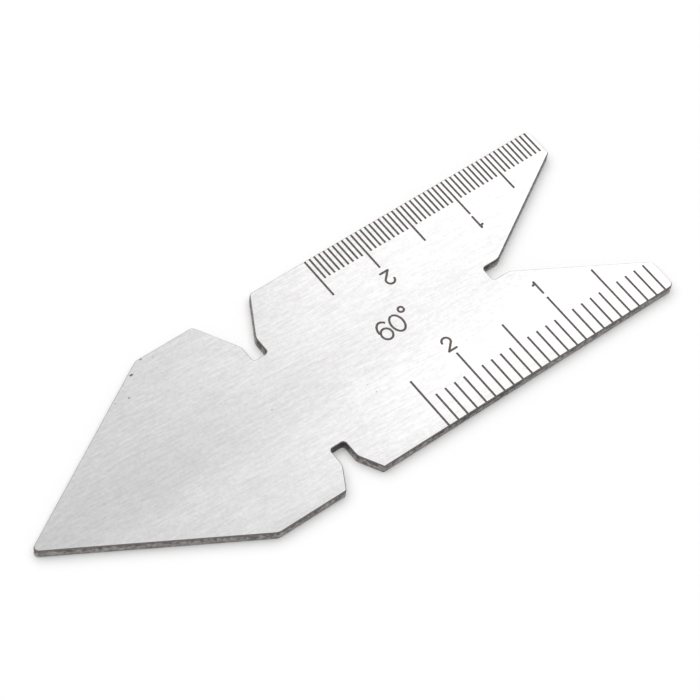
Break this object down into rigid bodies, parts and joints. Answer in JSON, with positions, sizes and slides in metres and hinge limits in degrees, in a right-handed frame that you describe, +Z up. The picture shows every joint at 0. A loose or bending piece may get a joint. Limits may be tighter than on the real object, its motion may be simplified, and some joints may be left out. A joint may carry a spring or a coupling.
{
  "type": "center gauge",
  "caption": "Flat steel thread form gauge: pointed at one end, forked at the other, a V notch in each long edge, and engraved millimetre scales.",
  "frame": {"origin": "centre of the outline's box on the underside, the face without marks", "axes": "+X along the length from the point to the fork, +Y across the width to the edge with the half millimetre scale, +Z up out of the marked face"},
  "size_m": [0.0596, 0.02, 0.001],
  "materials": {
    "brushed_steel": "satin stainless steel, brushed along its length, with dark engraved marks"
  },
  "bodies": {
    "root": {"gauge_plate": "brushed_steel"}
  },
  "joints": []
}
